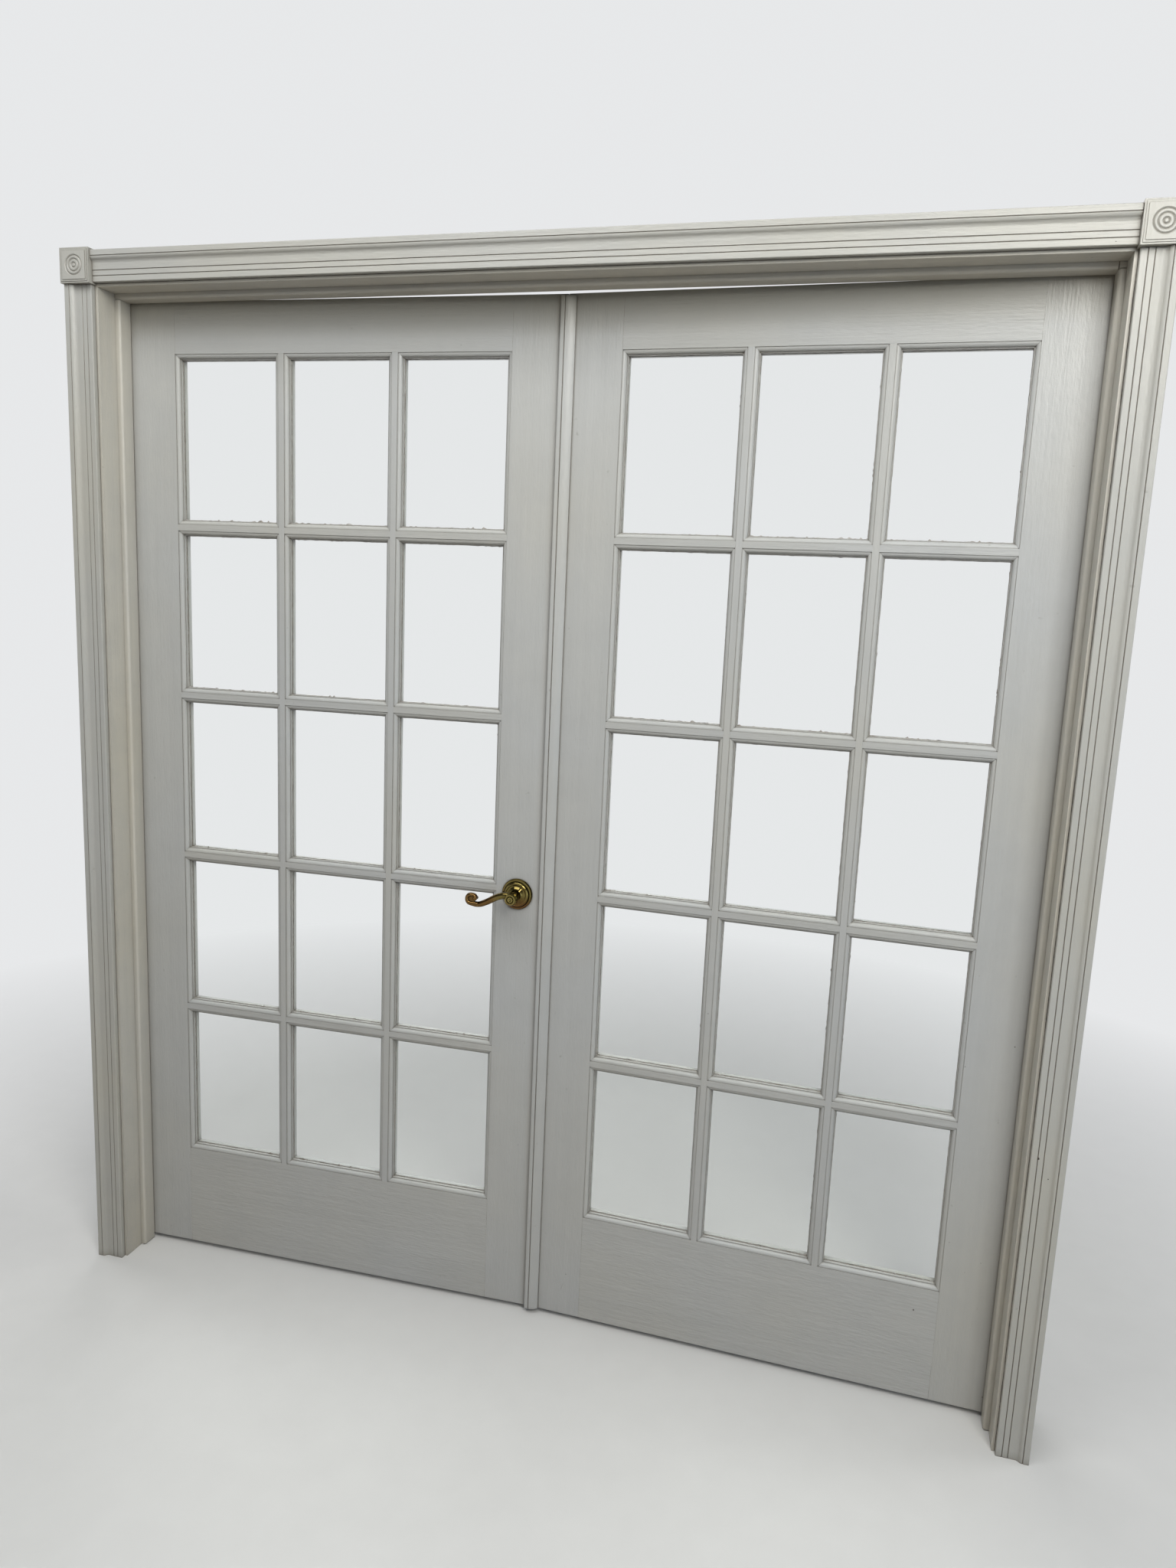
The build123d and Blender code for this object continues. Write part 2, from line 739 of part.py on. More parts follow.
def flush_bolt(throw):
    """Body, drawn rod and pocket of a flush bolt whose leaf ends at z = 0."""
    edge_x = meet_gap / 2
    slot_low = thumb_slot_rise - flush_plate_l
    slot_high = slot_low + thumb_h + throw + 2 * spare
    half = flush_plate_w / 2
    plate = box(edge_x, edge_x + flush_plate_t, leaf_mid_y - half, leaf_mid_y + half, -flush_plate_l, 0)
    wall = flush_rod_r + flush_wall
    house = box(edge_x + flush_plate_t, rod_x + wall, leaf_mid_y - wall, leaf_mid_y + wall,
                slot_low - flush_wall, slot_high + flush_guide)
    tab = thumb_w / 2
    side = tab + flush_fit
    slot = box(edge_x, rod_x, leaf_mid_y - side, leaf_mid_y + side, slot_low, slot_high)
    low = slot_low + spare
    channel = rod(flush_rod_r + rod_fit, slot_low, over)
    drawn = rod(flush_rod_r, low, -rod_drop)
    drawn += box(edge_x + rod_drop, rod_x, leaf_mid_y - tab, leaf_mid_y + tab, low, low + thumb_h)
    pocket = plate + house + rod(flush_rod_r + flush_fit, slot_low, over)
    return plate + house - slot - channel, drawn, pocket


def keeper():
    """Plate in the head jamb for the top flush bolt, and the cut that lets it and the bolt in."""
    half_l = keeper_l / 2
    half_w = keeper_w / 2
    plate = box(rod_x - half_l, rod_x + half_l, leaf_mid_y - half_w, leaf_mid_y + half_w,
                head_z, head_z + keeper_t)
    hole = rod(flush_rod_r + keeper_clear, head_z - over, head_z + top_throw)
    return plate - hole, plate + hole


def frame_nodes(plates):
    """Jambs, stops, casings and corner blocks by name."""
    nodes = {}
    jamb = side_jamb(plates)
    filler = box(-jamb_face_x - jamb_t, -jamb_face_x, frame_front_y, stop_front_y, 0, filler_h)
    nodes["left_jamb"] = jamb - filler
    nodes["left_jamb_filler"] = filler
    nodes["right_jamb"] = mirrored(jamb, 1)
    keeper_plate, keeper_cut = keeper()
    nodes["head_jamb"] = head_jamb() - keeper_cut
    nodes["head_keeper_plate"] = keeper_plate
    nodes["left_stop"] = side_stop()
    nodes["right_stop"] = mirrored(side_stop(), 1)
    nodes["head_stop"] = head_stop()
    for name, reveal, back in (("front", front_reveal, False), ("back", back_reveal, True)):
        side, head, block = [faced(shape, back) for shape in casing_set(reveal)]
        nodes[name + "_casing_left"] = side
        nodes[name + "_casing_right"] = mirrored(side, 1)
        nodes[name + "_casing_head"] = head
        nodes[name + "_block_left"] = block
        nodes[name + "_block_right"] = mirrored(block, 1)
    return nodes


def leaf_nodes(plates):
    """Wood, glass and hinge plates of the left leaf, shut, by the end of each node's name."""
    hinge_stile, meeting_stile, top_rail, bottom_rail = leaf_frame()
    for plate in plates:
        hinge_stile -= plate
    uprights = upright_bars(top_rail, bottom_rail)
    return {
        "hinge_stile": [hinge_stile],
        "meeting_stile": [meeting_stile],
        "top_rail": [top_rail],
        "bottom_rail": [bottom_rail],
        "upright_bars": uprights,
        "cross_bars": cross_bars(hinge_stile, uprights[0]),
        "panes": panes(),
        "glazing_beads": glazing_beads(),
        "hinge_leaf_plates": plates,
    }


def add_latch(left, right):
    """Latch, levers and spindle in the left leaf, strike plate in the right."""
    face = face_plate()
    pocket = strike_pocket()
    bar = spindle()
    front_lever, back_lever = [shape - bar for shape in both_faces(lever())]
    front_rosette, back_rosette = both_faces(rosette())
    left["meeting_stile"] = [left["meeting_stile"][0] - latch_bores() - face]
    right["meeting_stile"] = [right["meeting_stile"][0] - pocket - mirrored(face, 1)]
    left["latch_case"] = [latch_case()]
    left["latch_face_plate"] = [face - bolt_channel()]
    left["latch_bolt"] = [latch_bolt()]
    left["front_rosette"] = [front_rosette]
    left["back_rosette"] = [back_rosette]
    left["front_lever"] = [front_lever]
    left["back_lever"] = [back_lever]
    left["lever_spindle"] = [bar]
    right["strike_plate"] = [mirrored(face, 1) - pocket]


def add_flush_bolts(right):
    """Flush bolts let into the top and foot of the right leaf's meeting edge."""
    top = [Pos(0, 0, leaf_top_z) * shape for shape in flush_bolt(top_throw)]
    foot = [Pos(0, 0, foot_gap) * mirror(shape, about=Plane.XY) for shape in flush_bolt(foot_throw)]
    for word, (body, drawn, pocket) in (("top", top), ("foot", foot)):
        right["meeting_stile"] = [right["meeting_stile"][0] - pocket]
        right[word + "_flush_bolt_body"] = [body]
        right[word + "_flush_bolt_rod"] = [drawn]


def build():
    """Every piece by its node name, the leaves turned to stand ajar."""
    jamb_plates = at_hinges([hinge_plate(0, -1)])
    pins = at_hinges([hinge_pin()])
    nodes = frame_nodes(jamb_plates)
    left = leaf_nodes(at_hinges([hinge_plate(1, 1)]))
    right = {name: [mirrored(shape, 1) for shape in group] for name, group in left.items()}
    shared = list(left)
    add_latch(left, right)
    right["astragal"] = [astragal()]
    add_flush_bolts(right)
    for word, side, leaf in (("left", -1, left), ("right", 1, right)):
        nodes[word + "_hinge_jamb_plates"] = [mirrored(shape, side) for shape in jamb_plates]
        nodes[word + "_hinge_pins"] = [mirrored(shape, side) for shape in pins]
        for name, group in leaf.items():
            node = word + "_" + name if name in shared else name
            nodes[node] = [stand_ajar(shape, side) for shape in group]
    return nodes


def write(nodes):
    """One file for each node, holding its solid or its group of solids."""
    os.makedirs("parts", exist_ok=True)
    for name, shape in nodes.items():
        group = shape if isinstance(shape, list) else [shape]
        solids = [solid for piece in group for solid in piece.solids()]
        whole = solids[0] if len(solids) == 1 else Compound(children=solids)
        export_step(whole, "parts/" + name + ".step")


write(build())
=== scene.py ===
import json
import math
import random

import bmesh
import bpy
from mathutils import Matrix, Vector, noise


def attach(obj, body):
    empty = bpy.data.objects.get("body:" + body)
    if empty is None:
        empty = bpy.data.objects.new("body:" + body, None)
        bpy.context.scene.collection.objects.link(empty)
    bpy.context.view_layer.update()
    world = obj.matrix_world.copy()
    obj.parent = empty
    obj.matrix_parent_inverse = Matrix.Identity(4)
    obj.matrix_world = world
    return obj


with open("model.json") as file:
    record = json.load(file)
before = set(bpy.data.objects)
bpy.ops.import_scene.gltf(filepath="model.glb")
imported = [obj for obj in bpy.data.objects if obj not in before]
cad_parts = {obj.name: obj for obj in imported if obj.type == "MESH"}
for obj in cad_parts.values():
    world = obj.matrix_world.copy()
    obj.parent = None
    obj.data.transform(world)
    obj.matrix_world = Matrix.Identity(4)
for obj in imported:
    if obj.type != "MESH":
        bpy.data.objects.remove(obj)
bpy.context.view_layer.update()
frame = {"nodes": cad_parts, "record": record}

MM = 0.001

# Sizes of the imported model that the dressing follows, in metres
LEAF_W = 0.914
LEAF_H = 2.032
LEAF_T = 0.035
STILE = 0.1045
TOP_RAIL = 0.0985
BOTTOM_RAIL = 0.2275
BAR = 0.012
COLUMNS = 3
ROWS = 5
MOULDING = 0.0095
GLASS_DEPTH = 0.014
PANE_T = 0.003
FOOT_GAP = 0.012
MEET = 0.0015
JAMB_X = 0.9185
FRONT_Y = -0.058
BACK_Y = 0.058
LEAF_Y = 0.023
HEAD_Z = 2.0525
REVEAL = 0.006
CASING_W = 0.057
BLOCK_W = 0.064
STOP_T = 0.011
STOP_FRONT = -0.010
STOP_ROUND = 0.005
PIVOT_X = 0.917
PIVOT_Y = 0.0639
AJAR = math.radians(1.6)
FOLLOW = 0.98
LEVER_Z = 0.912
HINGE_H = 0.089

LEAF_TOP = FOOT_GAP + LEAF_H
LEAF_EDGE = MEET + LEAF_W
PANE_W = (LEAF_W - 2 * STILE - (COLUMNS - 1) * BAR) / COLUMNS
PANE_H = (LEAF_H - TOP_RAIL - BOTTOM_RAIL - (ROWS - 1) * BAR) / ROWS

# Face of the casings, across from the opening and out from the wall, in millimetres
CASING = [(0.4, 10.6), (1.5, 11), (10.1, 11), (11, 9.7), (11.9, 11), (20.1, 11), (21, 9.7), (21.9, 11),
          (32, 11), (34.5, 11.2), (36.5, 11.8), (38.5, 13.1), (40, 14.6), (42.3, 16.2), (45.1, 17),
          (46, 15.7), (46.9, 17), (55.5, 17), (56.6, 16.6)]
CASING_FLAT = 0.011

# Places of the hinges: the highest one below the leaf's top, and the lowest one above its foot
HINGE_TOP_DROP = 0.178
HINGE_FOOT_RISE = 0.279

# Places of the screws: in a hinge plate, up from its middle and in from the leaf's back face; in
# the latch and strike plates, up and down from the lever; in a flush bolt, from the leaf's end
HINGE_SCREWS = [(-0.031, 0.009), (0.0, 0.017), (0.031, 0.009)]
HINGE_SCREW_R = 0.0042
LATCH_SCREW_RISE = 0.021
BOLT_SCREWS = (0.010, 0.141)
PLATE_SCREW_R = 0.0029

# How far flat marks lie off the surface below them
JOINT_LIFT = 0.05 * MM
CRACK_LIFT = 0.06 * MM

# Marks as the photograph shows them: across and up in metres, and radius in millimetres,
# and on the frame also height as a share of width
RIGHT_LEAF_MARKS = [(0.7681, 0.1918, 1.5), (0.9070, 0.0430, 1.0), (0.8930, 0.7436, 1.0),
                    (0.8775, 0.3150, 0.6), (0.8515, 0.2901, 0.5), (0.8190, 0.3442, 0.6),
                    (0.8132, 0.6924, 0.8), (0.3387, 0.7202, 0.8), (0.0750, 0.1040, 0.8)]
FRAME_MARKS = [(0.9367, 0.5840, 1.5, 1.5), (0.9558, 0.5495, 1.0, 1.0), (0.8890, HEAD_Z + 0.0115, 1.1, 0.5)]
SCRATCH_START = (0.071, 0.084)
SCRATCH_RUN = (0.006, 0.018)
SCRATCH_W = 0.22 * MM
DENT_PLACE = (0.892, 2.030)
DENT_R = 2.6 * MM
DENT_DOME = 0.35 * MM

# The photograph's camera: focal length and frame height in its pixels, sensor in millimetres,
# place in metres, turns in radians
PHOTO_FOCAL = 1418.54
PHOTO_HEIGHT = 2048
SENSOR = 36.0
CAMERA_PLACE = (0.6011, -1.9567, 1.5014)
YAW = -0.2565
PITCH = -0.16931
ROLL = 0.04386

# Half the floor's width, and how far from the doors it starts and ends fading into the backdrop
FLOOR_REACH = 9.0
FADE_START = 1.3
FADE_END = 2.9

# Directions, and the two sides: a side times a distance from the middle is x on that side
OUT = (0, -1, 0)
UP = (0, 0, 1)
DOWN = (0, 0, -1)
LEFT = -1
RIGHT = 1


# Colours, in linear light

def rgb(r, g, b):
    return (r, g, b, 1.0)


WHITE = rgb(0.475, 0.485, 0.49)
WARM = rgb(0.478, 0.462, 0.405)
WORN = rgb(0.38, 0.387, 0.385)
# Painted brown shade along the leaves' heads, under the head jamb
HEAD_SHADE = rgb(0.30, 0.275, 0.21)
# Dark of the dust specks, and of the painted shade in corners and seams
GRIME_AND_SHADE = rgb(0.15, 0.13, 0.10)
# Lighter, warmer paint for the jambs: painted light, for the brighter light on their faces
JAMB_LIT_WHITE = rgb(0.55, 0.545, 0.525)
JAMB_LIT_WARM = rgb(0.56, 0.53, 0.455)
PUTTY_PALE = rgb(0.40, 0.39, 0.37)
PUTTY_DARK = rgb(0.24, 0.215, 0.185)
PUTTY_DIRT = rgb(0.09, 0.07, 0.052)
BRASS = rgb(0.22, 0.18, 0.06)
BRASS_DULLED = rgb(0.13, 0.095, 0.03)
# Painted reflection of the brown floor on the lever's arm and lower half
BRASS_FLOOR_REFLECTION = rgb(0.16, 0.075, 0.028)
BRASS_SPOTS = rgb(0.10, 0.07, 0.022)
# Painted shade in the brass's hollows
BRASS_HOLLOW_SHADE = rgb(0.025, 0.017, 0.006)
ZINC_DARK = rgb(0.50, 0.50, 0.51)
ZINC_PALE = rgb(0.62, 0.62, 0.62)
GLASS_TINT = rgb(0.985, 0.995, 0.99)
GLASS_SHADOW = rgb(0.93, 0.96, 0.95)
JOINT_DARK = rgb(0.035, 0.03, 0.026)
JOINT_DUST = rgb(0.16, 0.14, 0.12)
FLOOR_DARK = rgb(0.68, 0.675, 0.665)
FLOOR_PALE = rgb(0.72, 0.715, 0.705)
FLOOR_BOUNCE = rgb(0.34, 0.285, 0.22)
BACKDROP = rgb(0.80, 0.81, 0.82)
OVERHEAD = rgb(0.10, 0.105, 0.11)
AMBIENT = rgb(0.82, 0.91, 1.0)


# Placing

def side_word(side):
    return "left" if side == LEFT else "right"


def body_of(side):
    return side_word(side) + "_leaf"


def leaf_angle(side):
    """How far a leaf stands ajar, in radians."""
    return AJAR if side == LEFT else -AJAR * FOLLOW


def leaf_turn(side):
    """The turn about a leaf's pins that stands it ajar."""
    pin = Vector((side * PIVOT_X, PIVOT_Y, 0))
    return (Matrix.Translation(pin) @ Matrix.Rotation(leaf_angle(side), 4, "Z")
            @ Matrix.Translation(-pin))


def mirror(bm):
    """Swap left and right."""
    bmesh.ops.scale(bm, vec=(-1, 1, 1), verts=bm.verts)


def finish_piece(bm, name, body, material, turn=None, smooth=True):
    """Make the object from the mesh, set it on its body and give it its material."""
    mesh = bpy.data.meshes.new(name)
    bm.to_mesh(mesh)
    bm.free()
    if turn is not None:
        mesh.transform(turn)
    if smooth:
        for face in mesh.polygons:
            face.use_smooth = True
    obj = bpy.data.objects.new(name, mesh)
    bpy.context.scene.collection.objects.link(obj)
    mesh.materials.append(material)
    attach(obj, body)


def panes():
    """Corners of each pane's flats on the left leaf, shut: x0, x1, z0, z1."""
    for row in range(ROWS):
        for column in range(COLUMNS):
            x0 = -LEAF_EDGE + STILE + column * (PANE_W + BAR)
            z0 = FOOT_GAP + BOTTOM_RAIL + row * (PANE_H + BAR)
            yield x0, x0 + PANE_W, z0, z0 + PANE_H


def strip(bm, rows, closed=False):
    """Quads between successive rows of points."""
    made = [[bm.verts.new(p) for p in row] for row in rows]
    pairs = list(zip(made, made[1:]))
    if closed:
        pairs.append((made[-1], made[0]))
    for a, b in pairs:
        for i in range(len(a) - 1):
            bm.faces.new((a[i], b[i], b[i + 1], a[i + 1]))


def ragged(place, frequency, seed):
    """Noise from about -1 to 1 at a place, the same on every run."""
    return noise.noise(Vector(place) * frequency + Vector((seed, seed * 1.7, seed * 0.3)))


# Materials

class Graph:
    """A material's node tree, with short ways to add and join its nodes."""

    def __init__(self, name):
        self.material = bpy.data.materials.new(name)
        self.material.use_nodes = True
        self.tree = self.material.node_tree
        self.shader = self.tree.nodes["Principled BSDF"]
        self.output = self.tree.nodes["Material Output"]
        self.coords = self.node("ShaderNodeTexCoord").outputs["Object"]

    def node(self, kind, settings=None, **inputs):
        made = self.tree.nodes.new(kind)
        for key, value in (settings or {}).items():
            setattr(made, key, value)
        for key, value in inputs.items():
            self.feed(made.inputs[key.replace("_", " ")], value)
        return made

    def feed(self, socket, value):
        if isinstance(value, bpy.types.NodeSocket):
            self.tree.links.new(value, socket)
        else:
            socket.default_value = value

    def surface(self, **inputs):
        """Set or join the shader's own inputs."""
        for key, value in inputs.items():
            self.feed(self.shader.inputs[key.replace("_", " ")], value)

    def mapped(self, vector, scale):
        return self.node("ShaderNodeMapping", Vector=vector, Scale=scale).outputs["Vector"]

    def noise(self, scale, detail=3.0, rough=0.55, vector=None):
        made = self.node("ShaderNodeTexNoise", Vector=vector or self.coords, Scale=scale,
                         Detail=detail, Roughness=rough)
        return made.outputs["Fac"]

    def ramp(self, value, low, high, to_low=0.0, to_high=1.0):
        made = self.node("ShaderNodeMapRange", {"clamp": True}, Value=value)
        for key, number in (("From Min", low), ("From Max", high), ("To Min", to_low), ("To Max", to_high)):
            made.inputs[key].default_value = number
        return made.outputs["Result"]

    def maths(self, operation, a, b):
        made = self.node("ShaderNodeMath", {"operation": operation})
        self.feed(made.inputs[0], a)
        self.feed(made.inputs[1], b)
        return made.outputs[0]

    def mix(self, factor, a, b):
        made = self.node("ShaderNodeMix", {"data_type": "RGBA"})
        self.feed(made.inputs[0], factor)
        self.feed(made.inputs[6], a)
        self.feed(made.inputs[7], b)
        return made.outputs[2]

    def bump(self, height, strength, distance, soft_edge=0.0):
        made = self.node("ShaderNodeBump", Height=height, Strength=strength, Distance=distance)
        if soft_edge:
            bevel = self.node("ShaderNodeBevel", {"samples": 2}, Radius=soft_edge)
            self.feed(made.inputs["Normal"], bevel.outputs["Normal"])
        self.feed(self.shader.inputs["Normal"], made.outputs["Normal"])

    def crevice(self, distance):
        """Openness of the surface within a distance, 0 deep in a corner and 1 on a plain face."""
        made = self.node("ShaderNodeAmbientOcclusion", {"samples": 2}, Distance=distance)
        return made.outputs["AO"]

    def blend_out(self, factor, other):
        """Let another shader take the surface's place by a factor."""
        both = self.node("ShaderNodeMixShader")
        self.feed(both.inputs[0], factor)
        self.feed(both.inputs[1], self.shader.outputs[0])
        self.feed(both.inputs[2], other.outputs[0])
        self.feed(self.output.inputs["Surface"], both.outputs[0])


def paint(name, grain, warmth=0.0, seed=0.0, turn=0.0, top=0.0, corner_shade=1.0, white=WHITE, warm=WARM):
    """Satin white paint, brushed along grain, with faint yellowing, and with shade painted into
    its corners and seams.

    turn is the leaf's turn about its pins, so that the grain runs along the leaf, top paints a
    brown shade along the leaf's head, and dirt is the share of painted shade in the corners."""
    g = Graph(name)
    # Scales of the brush marks, per metre, and reach of the painted shade in corners and seams and of the
    # painted brown shade along the head, in metres
    across, along = 230.0, 4.0
    corner_reach, seam_reach = 0.018, 0.0035
    head_shade_strip = 0.075
    warmest = min(1.0, warmth + 0.5)
    moved = g.node("ShaderNodeMapping", Vector=g.coords, Location=(seed, seed * 0.7, seed * 0.3),
                   Rotation=(0.0, 0.0, -turn)).outputs["Vector"]

    def brushed(fine, long):
        return g.mapped(moved, tuple(along * long if axis == grain else across * fine for axis in "XYZ"))

    brush = g.noise(1.0, 3.0, 0.6, brushed(1.0, 1.0))
    sweep = g.noise(1.0, 2.0, 0.5, brushed(0.24, 0.6))
    broad = g.noise(2.1, 2.0, 0.5, moved)
    mottle = g.noise(17.0, 3.0, 0.6, moved)
    ripple = g.noise(1.0, 2.0, 0.5, brushed(1.1, 14.0))
    nubs = g.noise(420.0, 1.0, 0.5, moved)
    specks = g.ramp(g.noise(95.0, 1.0, 0.4, moved), 0.78, 0.84)
    tone = g.mix(g.ramp(broad, 0.3, 0.7, warmth, warmest), white, warm)
    tone = g.mix(g.ramp(sweep, 0.35, 0.75, 0.0, 0.20), tone, WORN)
    tone = g.mix(g.ramp(mottle, 0.42, 0.78, 0.0, 0.22), tone, WORN)
    tone = g.mix(g.maths("MULTIPLY", specks, 0.25), tone, GRIME_AND_SHADE)
    # Painted shade: brown along the leaf's head, under the head jamb
    if top:
        rise = g.node("ShaderNodeSeparateXYZ", Vector=g.coords).outputs["Z"]
        tone = g.mix(g.ramp(rise, LEAF_TOP - head_shade_strip, LEAF_TOP, 0.0, top), tone, HEAD_SHADE)
    # Painted shade: darker in corners and seams, the more closed in the surface is
    tone = g.mix(g.ramp(g.crevice(corner_reach), 0.30, 0.90, 0.55 * corner_shade, 0.0), tone, GRIME_AND_SHADE)
    tone = g.mix(g.ramp(g.crevice(seam_reach), 0.45, 0.92, 0.75 * corner_shade, 0.0), tone, GRIME_AND_SHADE)
    gloss = g.ramp(g.maths("ADD", g.maths("MULTIPLY", brush, 0.6), g.maths("MULTIPLY", broad, 0.4)),
                   0.35, 0.70, 0.30, 0.46)
    g.surface(Base_Color=tone, Roughness=gloss, Specular_IOR_Level=0.5)
    height = g.maths("ADD", g.maths("MULTIPLY", brush, 0.5), g.maths("MULTIPLY", sweep, 0.8))
    height = g.maths("ADD", height, g.maths("MULTIPLY", ripple, 0.7))
    height = g.maths("ADD", height, g.maths("MULTIPLY", nubs, 0.12))
    g.bump(height, 0.9, 0.0009, 0.0007)
    return g.material


def old_putty():
    """Paint and putty that has run onto the glass: greyer than the leaf, with brown grime in it."""
    g = Graph("paint_on_glass")
    patches = g.noise(60.0, 3.0, 0.6)
    spots = g.noise(320.0, 2.0, 0.6)
    tone = g.mix(g.ramp(patches, 0.35, 0.65), PUTTY_PALE, PUTTY_DARK)
    tone = g.mix(g.ramp(spots, 0.52, 0.72, 0.0, 0.8), tone, PUTTY_DIRT)
    g.surface(Base_Color=tone, Roughness=g.ramp(spots, 0.3, 0.7, 0.45, 0.7))
    g.bump(spots, 0.5, 0.0004)
    return g.material


def brass(name, floor_reflection=False):
    """Polished brass that has dulled to olive, with shade painted nearly black into its hollows.

    browned paints a brown reflection of the floor onto the lever's arm and lower half."""
    g = Graph(name)
    clouds = g.noise(24.0, 2.0, 0.5)
    spots = g.noise(210.0, 2.0, 0.6)
    fine = g.noise(900.0, 2.0, 0.6)
    tone = g.mix(g.ramp(clouds, 0.38, 0.65), BRASS, BRASS_DULLED)
    if floor_reflection:
        # Painted reflection of the brown floor: where it is full and where it ends, below the lever's axis
        # and along its arm
        full_drop, no_drop = 0.024, 0.002
        full_arm, no_arm = 0.098, 0.078
        split = g.node("ShaderNodeSeparateXYZ", Vector=g.coords)
        low = g.ramp(split.outputs["Z"], LEVER_Z - full_drop, LEVER_Z - no_drop, 0.85, 0.0)
        arm = g.ramp(split.outputs["X"], -MEET - full_arm, -MEET - no_arm, 0.7, 0.0)
        tone = g.mix(g.maths("MAXIMUM", low, arm), tone, BRASS_FLOOR_REFLECTION)
    tone = g.mix(g.ramp(spots, 0.60, 0.74, 0.0, 0.5), tone, BRASS_SPOTS)
    # Painted shade: near black in the hollows
    tone = g.mix(g.ramp(g.crevice(0.012), 0.45, 0.98, 0.93, 0.0), tone, BRASS_HOLLOW_SHADE)
    g.surface(Base_Color=tone, Metallic=1.0, Roughness=g.ramp(clouds, 0.3, 0.75, 0.06, 0.13))
    g.bump(fine, 0.08, 0.00006, 0.0004)
    return g.material


def steel():
    """Plain zinc-coated steel inside the latch."""
    g = Graph("latch_steel")
    spangle = g.noise(240.0, 3.0, 0.6)
    tone = g.mix(g.ramp(spangle, 0.35, 0.7), ZINC_DARK, ZINC_PALE)
    g.surface(Base_Color=tone, Metallic=1.0, Roughness=g.ramp(spangle, 0.3, 0.7, 0.28, 0.42))
    g.bump(spangle, 0.1, 0.0001, 0.0003)
    return g.material


def glass():
    """Clear window glass with faint smears, which lets the lamps through."""
    g = Graph("clear_glass")
    smears = g.noise(1.0, 3.0, 0.6, g.mapped(g.coords, (9.0, 9.0, 4.0)))
    dust = g.noise(700.0, 1.0, 0.5)
    rough = g.maths("ADD", g.ramp(smears, 0.5, 0.8, 0.0, 0.035), g.ramp(dust, 0.62, 0.75, 0.0, 0.03))
    g.surface(Base_Color=GLASS_TINT, Transmission_Weight=1.0, IOR=1.45, Roughness=rough)
    path = g.node("ShaderNodeLightPath")
    g.blend_out(path.outputs["Is Shadow Ray"], g.node("ShaderNodeBsdfTransparent", Color=GLASS_SHADOW))
    return g.material


def crack():
    """Dark open joint or hole, with dust in it."""
    g = Graph("dark_joint")
    spots = g.noise(260.0, 3.0, 0.7)
    tone = g.mix(g.ramp(spots, 0.35, 0.7), JOINT_DARK, JOINT_DUST)
    g.surface(Base_Color=tone, Roughness=g.ramp(spots, 0.3, 0.7, 0.75, 0.95))
    g.bump(spots, 0.4, 0.0002)
    return g.material


upright_paint = paint("paint_upright", "Z", top=0.75)
level_left = paint("paint_level_left", "X", seed=3.0, turn=leaf_angle(LEFT), top=0.75)
level_right = paint("paint_level_right", "X", seed=5.0, turn=leaf_angle(RIGHT), top=0.75)
frame_upright = paint("paint_frame_upright", "Z", 0.35, 7.0)
frame_level = paint("paint_frame_level", "X", 0.35, 11.0)
# The jambs' paint is lighter as painted light, with less painted shade in their corners
lit_jamb_upright = paint("paint_jamb_upright_lit", "Z", 0.45, 13.0, corner_shade=0.3, white=JAMB_LIT_WHITE, warm=JAMB_LIT_WARM)
lit_jamb_level = paint("paint_jamb_level_lit", "X", 0.45, 15.0, corner_shade=0.4, white=JAMB_LIT_WHITE, warm=JAMB_LIT_WARM)
block_paint = paint("paint_blocks", "Z", 0.4, 9.0)
putty = old_putty()
brass_metal = brass("polished_brass")
lever_brass = brass("brass_floor_reflection", True)
latch_steel = steel()
pane_glass = glass()
dark_joint = crack()


def material_for(name, slot):
    """Material of a CAD node, by its slot and the way its grain runs."""
    if slot == "clear_glass":
        return pane_glass
    if slot == "polished_brass":
        return lever_brass if name.endswith(("lever", "rosette")) else brass_metal
    if slot == "latch_steel":
        return latch_steel
    if "block" in name:
        return block_paint
    if name.endswith(("jamb", "stop", "filler")):
        return lit_jamb_level if name.startswith("head") else lit_jamb_upright
    if name.endswith(("rail", "cross_bars")):
        return level_left if name.startswith("left_") else level_right
    if "head" in name:
        return frame_level
    if name.startswith(("left_", "right_")) or name == "astragal":
        return upright_paint
    return frame_upright


def dress_nodes():
    """Give every CAD node its material."""
    slots = {part["node"]: part["material_slot"] for part in frame["record"]["subparts"]}
    for name, obj in frame["nodes"].items():
        obj.data.materials.clear()
        obj.data.materials.append(material_for(name, slots[name]))


# Paint edges round the panes

def line_width(place, seed, sill, lumps):
    """Width of the line of paint at a place, with lumps that are larger along the sill."""
    lump = max(0.0, ragged(place, 210, seed + 9) - 0.12)
    patch = max(0.0, ragged(place, 22, seed + 4) + 0.25)
    width = 0.7 + 0.5 * ragged(place, 90, seed) + lump * patch * (15.0 if sill else 4.0) * lumps
    return max(0.25, min(4.0, width)) * MM


